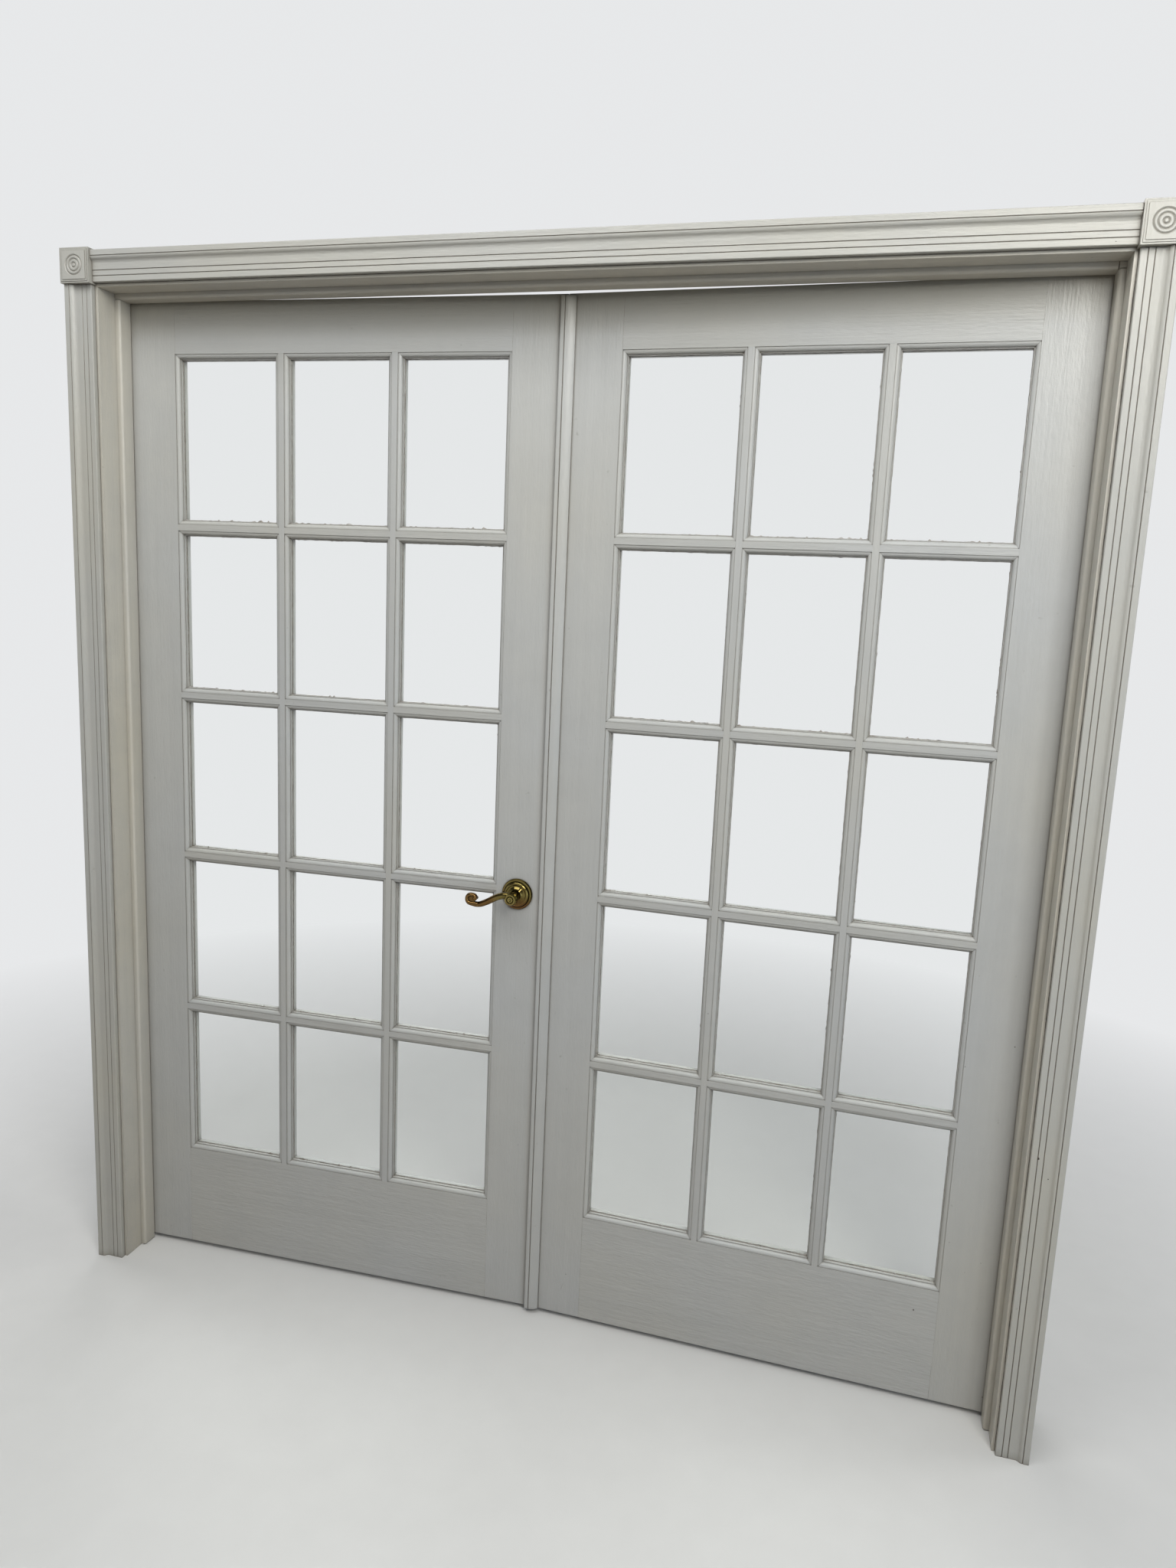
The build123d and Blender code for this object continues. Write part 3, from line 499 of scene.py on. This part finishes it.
def paint_ring(bm, x0, x1, z0, z1, glass_y, out, seed, step, lumps):
    """Uneven line of paint where the moulding meets the glass, thicker and lumpy along the sill.

    out is -1 on the glass's front face and 1 on its back."""
    corners = [(x0, z0, 1, 1), (x1, z0, -1, 1), (x1, z1, -1, -1), (x0, z1, 1, -1)]
    inwards = [(0, 1), (-1, 0), (0, -1), (1, 0)]
    rows = []
    for index, (xa, za, sx, sz) in enumerate(corners):
        xb, zb, _, _ = corners[(index + 1) % 4]
        count = max(4, round(math.hypot(xb - xa, zb - za) / step))
        for k in range(count):
            x = xa + (xb - xa) * k / count
            z = za + (zb - za) * k / count
            toward = (sx, sz) if k == 0 else inwards[index]
            place = (x, 0.0, z)
            width = line_width(place, seed, index == 0, lumps)
            rise = (0.5 + 0.35 * ragged(place, 150, seed + 2)) * MM + width * 0.25
            row = []
            for share, high in ((0.0, rise), (0.45, rise * 0.62), (0.85, rise * 0.3), (1.0, 0.02 * MM)):
                reach = width * share
                row.append((x + toward[0] * reach, glass_y + out * high, z + toward[1] * reach))
            rows.append(row)
    strip(bm, rows, True)


def paint_edges(side):
    """Paint on the glass round all the panes of a leaf, finer in front than behind."""
    bm = bmesh.new()
    for number, (x0, x1, z0, z1) in enumerate(panes()):
        inner = (x0 + MOULDING, x1 - MOULDING, z0 + MOULDING, z1 - MOULDING)
        seed = number * 3.1 + (0 if side == LEFT else 40)
        paint_ring(bm, *inner, LEAF_Y + GLASS_DEPTH, -1, seed, 0.003, 1.0)
        paint_ring(bm, *inner, LEAF_Y + GLASS_DEPTH + PANE_T, 1, seed + 77, 0.006, 0.3)
    if side == RIGHT:
        mirror(bm)
        bmesh.ops.reverse_faces(bm, faces=bm.faces)
    finish_piece(bm, side_word(side) + "_paint_edges", body_of(side), putty, leaf_turn(side))


# Open joints and cracks

def crack_line(bm, start, end, across, lift, width, seed, step=0.006, least=0.15):
    """Flat ragged ribbon from start to end, lying just off the surface; widths in millimetres."""
    start, end = Vector(start), Vector(end)
    across, lift = Vector(across), Vector(lift)
    count = max(3, int((end - start).length / step))
    rows = []
    for k in range(count + 1):
        p = start.lerp(end, k / count) + lift
        wide = width * (0.75 + 0.55 * ragged(p, 26, seed) + 0.3 * ragged(p, 130, seed + 3))
        wide = max(least, wide) * MM
        rows.append([p, p + across * wide])
    strip(bm, rows)


def rail_joints(side):
    """Hairlines where the top and bottom rails meet the stiles, in front and behind."""
    bm = bmesh.new()
    for number, x in enumerate((-LEAF_EDGE + STILE, -MEET - STILE)):
        for low, high in ((FOOT_GAP, FOOT_GAP + BOTTOM_RAIL), (LEAF_TOP - TOP_RAIL, LEAF_TOP)):
            for y, out in ((LEAF_Y, -1), (BACK_Y, 1)):
                crack_line(bm, (x, y, low), (x, y, high), (1, 0, 0), (0, out * JOINT_LIFT, 0), 0.45,
                           60.0 + number * 7 + low, least=0.1)
    if side == RIGHT:
        mirror(bm)
    finish_piece(bm, side_word(side) + "_rail_joints", body_of(side), putty,
                 leaf_turn(side), smooth=False)


def joint_line(bm, place, across, along, width, seed):
    """Dark ragged line over a casing's face, where its end meets a corner block."""
    off, least = 0.07, 0.12
    rows = []
    for (u0, v0), (u1, v1) in zip(CASING, CASING[1:]):
        count = max(1, round((u1 - u0) / 1.5))
        for k in range(count):
            u = u0 + (u1 - u0) * k / count
            v = v0 + (v1 - v0) * k / count + off
            p = Vector(place) + (Vector(across) * u + Vector(OUT) * v) * MM
            wide = max(least, width * (0.8 + 0.8 * ragged(p, 95, seed))) * MM
            rows.append([p, p + Vector(along) * wide])
    strip(bm, rows)


def stop_joint(bm, x):
    """Open joint in the head stop above the right stop's edge, down its face and round its corner."""
    steps_down, steps_round = 3, 8
    reach = STOP_ROUND + CRACK_LIFT
    rows = []
    for k in range(steps_down + steps_round + 1):
        turn = max(0, k - steps_down) / steps_round * math.pi / 2
        drop = min(k, steps_down) / steps_down * (STOP_T - STOP_ROUND) + reach * math.sin(turn)
        p = Vector((x, STOP_FRONT + STOP_ROUND - reach * math.cos(turn), HEAD_Z - drop))
        rows.append([p, p - Vector(((1.5 + 0.4 * ragged(p, 400, 21.0)) * MM, 0, 0))])
    strip(bm, rows)


def casing_cracks():
    """Open joints of the jambs, casings, corner blocks and head stop, wider on the right."""
    edge_x = JAMB_X + REVEAL
    edge_z = HEAD_Z + REVEAL
    block_in = edge_x + CASING_W / 2 - BLOCK_W / 2
    block_low = edge_z + CASING_W / 2 - BLOCK_W / 2
    stop_end = JAMB_X - STOP_T
    lift = (0, -CRACK_LIFT, 0)
    bm = bmesh.new()
    for side, jamb_width, upright_width, head_width in ((LEFT, 0.45, 0.55, 0.35), (RIGHT, 1.1, 0.95, 0.6)):
        inward = (-side, 0, 0)
        crack_line(bm, (side * edge_x, FRONT_Y, 0.001), (side * edge_x, FRONT_Y, block_low),
                   inward, lift, jamb_width, 2.0 + side)
        joint_line(bm, (side * edge_x, FRONT_Y, block_low), (side, 0, 0), DOWN, upright_width, 5.0 + side)
        joint_line(bm, (side * block_in, FRONT_Y, edge_z), UP, inward, head_width, 15.0 + side)
    crack_line(bm, (-edge_x, FRONT_Y, edge_z), (edge_x, FRONT_Y, edge_z), DOWN, lift, 0.9, 8.0)
    crack_line(bm, (JAMB_X, STOP_FRONT, HEAD_Z), (stop_end, STOP_FRONT, HEAD_Z), DOWN, lift, 0.7, 12.0,
               0.002)
    stop_joint(bm, stop_end)
    finish_piece(bm, "casing_cracks", "frame", dark_joint, smooth=False)


# Screws

def screw(bm, place, normal, radius, turn):
    """Flat screw head with a cross recess, standing a little proud; its normal points left or right."""
    sides = 24
    normal, place = Vector(normal), Vector(place)
    side = normal.cross(Vector(UP))
    up = normal.cross(side)
    c, s = math.cos(turn), math.sin(turn)

    def at(u, v, h):
        return bm.verts.new(place + side * (u * c - v * s) + up * (u * s + v * c) + normal * h)

    arm, half = radius * 0.62, radius * 0.15
    proud, deep, taper = radius * 0.09, radius * 0.34, 0.75
    outline = []
    for quarter in range(4):
        a = quarter * math.pi / 2
        for u, v in ((arm, -half), (arm, half), (half, half)):
            outline.append((u * math.cos(a) - v * math.sin(a), u * math.sin(a) + v * math.cos(a)))
    cross = [at(u, v, proud) for u, v in outline]
    floor = [at(u * taper, v * taper, proud - deep) for u, v in outline]
    angles = [2 * math.pi * (k - 0.5) / sides for k in range(sides)]
    rings = []
    for share, high in ((0.72, proud), (0.93, proud * 0.8), (1.0, -0.02 * MM)):
        reach = radius * share
        rings.append([at(reach * math.cos(a), reach * math.sin(a), high) for a in angles])
    for a, b in zip(rings, rings[1:]):
        for k in range(sides):
            bm.faces.new((a[k], b[k], b[(k + 1) % sides], a[(k + 1) % sides]))
    for k in range(len(outline)):
        j = (k + 1) % len(outline)
        bm.faces.new((cross[j], cross[k], floor[k], floor[j]))
        first = rings[0][2 * k]
        middle = rings[0][2 * k + 1]
        last = rings[0][(2 * k + 2) % sides]
        bm.faces.new((cross[k], first, middle))
        bm.faces.new((cross[k], middle, cross[j]))
        bm.faces.new((middle, last, cross[j]))
    bm.faces.new(floor)


def any_turn():
    """How a screw happens to be turned, in radians."""
    return random.uniform(0, 1.5)


def hinge_screws(side):
    """Three screws in each hinge plate of a leaf, on the jamb and on the leaf."""
    top = LEAF_TOP - HINGE_TOP_DROP - HINGE_H / 2
    low = FOOT_GAP + HINGE_FOOT_RISE + HINGE_H / 2
    for name, x, normal, body, turn in (
            ("_hinge_jamb_screws", side * JAMB_X, (-side, 0, 0), "frame", None),
            ("_hinge_leaf_screws", side * LEAF_EDGE, (side, 0, 0), body_of(side), leaf_turn(side))):
        bm = bmesh.new()
        for z in (low, (low + top) / 2, top):
            for rise, back in HINGE_SCREWS:
                screw(bm, (x, BACK_Y - back, z + rise), normal, HINGE_SCREW_R, any_turn())
        finish_piece(bm, side_word(side) + name, body, brass_metal, turn, smooth=False)


def plate_screws():
    """Two screws in each plate on the leaves' meeting edges."""
    lock_heights = [LEVER_Z + LATCH_SCREW_RISE, LEVER_Z - LATCH_SCREW_RISE]
    for name, side, heights in (
            ("latch_plate_screws", LEFT, lock_heights),
            ("strike_plate_screws", RIGHT, lock_heights),
            ("top_bolt_screws", RIGHT, [LEAF_TOP - inset for inset in BOLT_SCREWS]),
            ("foot_bolt_screws", RIGHT, [FOOT_GAP + inset for inset in BOLT_SCREWS])):
        bm = bmesh.new()
        for z in heights:
            screw(bm, (side * MEET, LEAF_Y + LEAF_T / 2, z), (-side, 0, 0), PLATE_SCREW_R, any_turn())
        finish_piece(bm, name, body_of(side), brass_metal, leaf_turn(side), smooth=False)


# Nail holes, specks and a filled dent

def blot(bm, place, radius, seed, points=11, dome=0.0, stretch=1.0):
    """Ragged spot on a front face, flat or slightly raised."""
    normal, up, place = Vector(OUT), Vector(UP), Vector(place)
    side = up.cross(normal)
    rim = []
    for k in range(points):
        angle = 2 * math.pi * k / points
        reach = radius * (1 + 0.35 * ragged((math.cos(angle), math.sin(angle), 0), 1.3, seed))
        rim.append(bm.verts.new(place + side * reach * math.cos(angle)
                                + up * reach * stretch * math.sin(angle) + normal * JOINT_LIFT))
    centre = bm.verts.new(place + normal * (0.07 * MM + dome))
    for k in range(points):
        bm.faces.new((centre, rim[k], rim[(k + 1) % points]))


def right_leaf_marks():
    """Specks and a short scratch on the right leaf's front."""
    bm = bmesh.new()
    for number, (x, z, radius) in enumerate(RIGHT_LEAF_MARKS):
        blot(bm, (x, LEAF_Y, z), radius * MM, number * 2.3)
    steps = 8
    rows = []
    for k in range(steps + 1):
        p = Vector((SCRATCH_START[0] - SCRATCH_RUN[0] * k / steps, LEAF_Y - CRACK_LIFT,
                    SCRATCH_START[1] - SCRATCH_RUN[1] * k / steps))
        rows.append([p, p + Vector((SCRATCH_W * math.sin(math.pi * (k + 0.3) / (steps + 1)), 0, 0))])
    strip(bm, rows)
    finish_piece(bm, "right_leaf_marks", "right_leaf", dark_joint, leaf_turn(RIGHT),
                 smooth=False)


def casing_marks():
    """Nail holes in the right and head casings."""
    bm = bmesh.new()
    for number, (x, z, radius, stretch) in enumerate(FRAME_MARKS):
        blot(bm, (x, FRONT_Y - CASING_FLAT, z), radius * MM, 31 + number * 1.9, stretch=stretch)
    finish_piece(bm, "casing_marks", "frame", dark_joint, smooth=False)


def filled_dent():
    """Filled dent that stands a little proud, in the right leaf's upper corner."""
    bm = bmesh.new()
    blot(bm, (DENT_PLACE[0], LEAF_Y, DENT_PLACE[1]), DENT_R, 50.0, 16, DENT_DOME)
    finish_piece(bm, "filled_dent", "right_leaf", upright_paint, leaf_turn(RIGHT))


# Floor, light and camera

def stage_floor():
    """Pale floor that fades into the backdrop, and lights the doors from below as brown boards do."""
    mesh = bpy.data.meshes.new("floor")
    corners = [(-1, -1), (1, -1), (1, 1), (-1, 1)]
    mesh.from_pydata([(x * FLOOR_REACH, y * FLOOR_REACH, 0) for x, y in corners], [], [(0, 1, 2, 3)])
    floor = bpy.data.objects.new("floor", mesh)
    bpy.context.scene.collection.objects.link(floor)
    g = Graph("floor")
    grain = g.noise(14.0, 3.0, 0.5)
    path = g.node("ShaderNodeLightPath")
    seen = g.maths("MAXIMUM", path.outputs["Is Camera Ray"],
                   g.maths("MAXIMUM", path.outputs["Is Glossy Ray"], path.outputs["Is Transmission Ray"]))
    pale = g.mix(grain, FLOOR_DARK, FLOOR_PALE)
    g.surface(Base_Color=g.mix(seen, FLOOR_BOUNCE, pale), Roughness=0.7, Specular_IOR_Level=0.2)
    far = g.node("ShaderNodeVectorMath", {"operation": "LENGTH"})
    g.feed(far.inputs[0], g.coords)
    share = g.ramp(far.outputs["Value"], FADE_START, FADE_END)
    g.blend_out(g.maths("MULTIPLY", share, seen), g.node("ShaderNodeEmission", Color=BACKDROP))
    mesh.materials.append(g.material)


def world_light():
    """Pale backdrop for what is seen or mirrored, darker overhead in gloss, and a soft plain light."""
    world = bpy.data.worlds.new("studio")
    bpy.context.scene.world = world
    world.use_nodes = True
    tree = world.node_tree
    tree.nodes.clear()
    new = tree.nodes.new
    join = tree.links.new

    def backdrop(colour, strength=1.0):
        made = new("ShaderNodeBackground")
        made.inputs["Color"].default_value = colour
        made.inputs["Strength"].default_value = strength
        return made.outputs[0]

    def blend(factor, a, b):
        made = new("ShaderNodeMixShader")
        join(factor, made.inputs[0])
        join(a, made.inputs[1])
        join(b, made.inputs[2])
        return made.outputs[0]

    path = new("ShaderNodeLightPath")
    split = new("ShaderNodeSeparateXYZ")
    rise = new("ShaderNodeMapRange")
    join(new("ShaderNodeTexCoord").outputs["Generated"], split.inputs[0])
    join(split.outputs["Z"], rise.inputs["Value"])
    rise.inputs["From Min"].default_value = 0.0
    rise.inputs["From Max"].default_value = 0.5
    seen = new("ShaderNodeMath")
    seen.operation = "MAXIMUM"
    join(path.outputs["Is Camera Ray"], seen.inputs[0])
    join(path.outputs["Is Transmission Ray"], seen.inputs[1])
    ambient = backdrop(AMBIENT, 0.21)
    pale = backdrop(BACKDROP)
    mirrored = blend(rise.outputs["Result"], pale, backdrop(OVERHEAD))
    light = blend(path.outputs["Is Glossy Ray"], ambient, mirrored)
    out = new("ShaderNodeOutputWorld")
    join(blend(seen.outputs[0], light, pale), out.inputs["Surface"])


def lamp(name, place, target, size, power, colour):
    """Soft lamp that isn't itself seen: place, target and size in metres, power in watts."""
    data = bpy.data.lights.new(name, "AREA")
    data.shape = "RECTANGLE"
    data.size, data.size_y = size
    data.energy = power
    data.color = colour
    obj = bpy.data.objects.new(name, data)
    bpy.context.scene.collection.objects.link(obj)
    obj.location = place
    obj.rotation_euler = (Vector(target) - Vector(place)).to_track_quat("-Z", "Y").to_euler()
    obj.visible_camera = False
    obj.visible_transmission = False


def camera():
    """Camera at the photograph's place and angle."""
    forward = Vector((math.sin(YAW) * math.cos(PITCH), math.cos(YAW) * math.cos(PITCH), math.sin(PITCH)))
    level_right = Vector((math.cos(YAW), -math.sin(YAW), 0))
    level_up = level_right.cross(forward)
    right = level_right * math.cos(ROLL) + level_up * math.sin(ROLL)
    up = level_up * math.cos(ROLL) - level_right * math.sin(ROLL)
    data = bpy.data.cameras.new("camera")
    data.sensor_width = SENSOR
    data.lens = PHOTO_FOCAL / PHOTO_HEIGHT * SENSOR
    data.clip_start = 0.05
    obj = bpy.data.objects.new("camera", data)
    bpy.context.scene.collection.objects.link(obj)
    turn = Matrix((right, up, -forward)).transposed().to_4x4()
    obj.matrix_world = Matrix.Translation(CAMERA_PLACE) @ turn
    bpy.context.scene.camera = obj


# The whole scene, in order

dress_nodes()
for side in (LEFT, RIGHT):
    paint_edges(side)
for side in (LEFT, RIGHT):
    rail_joints(side)
casing_cracks()
random.seed(4)
for side in (LEFT, RIGHT):
    hinge_screws(side)
plate_screws()
right_leaf_marks()
casing_marks()
filled_dent()

stage_floor()
world_light()
lamp("key", (1.5, -2.3, 2.9), (0.3, 0, 1.4), (1.3, 1.3), 55, (1.0, 0.985, 0.93))
lamp("overhead", (-0.4, -1.4, 3.4), (-0.2, 0, 1.0), (2.4, 1.0), 36, (1.0, 0.995, 0.965))
lamp("low_side", (2.4, -2.2, 1.0), (0.5, 0, 0.6), (1.2, 1.6), 9, (0.62, 0.80, 1.0))
lamp("far_side", (-1.4, 3.6, 3.0), (0, 0, 1.1), (3.2, 2.4), 55, (1.0, 0.99, 0.97))
for side in (LEFT, RIGHT):
    lamp("edge", (side * 3.2, 0.7, 1.9), (side * 0.95, 0, 1.1), (1.2, 2.0), 16, (1.0, 0.99, 0.97))
camera()

bpy.context.scene.view_settings.view_transform = "Standard"
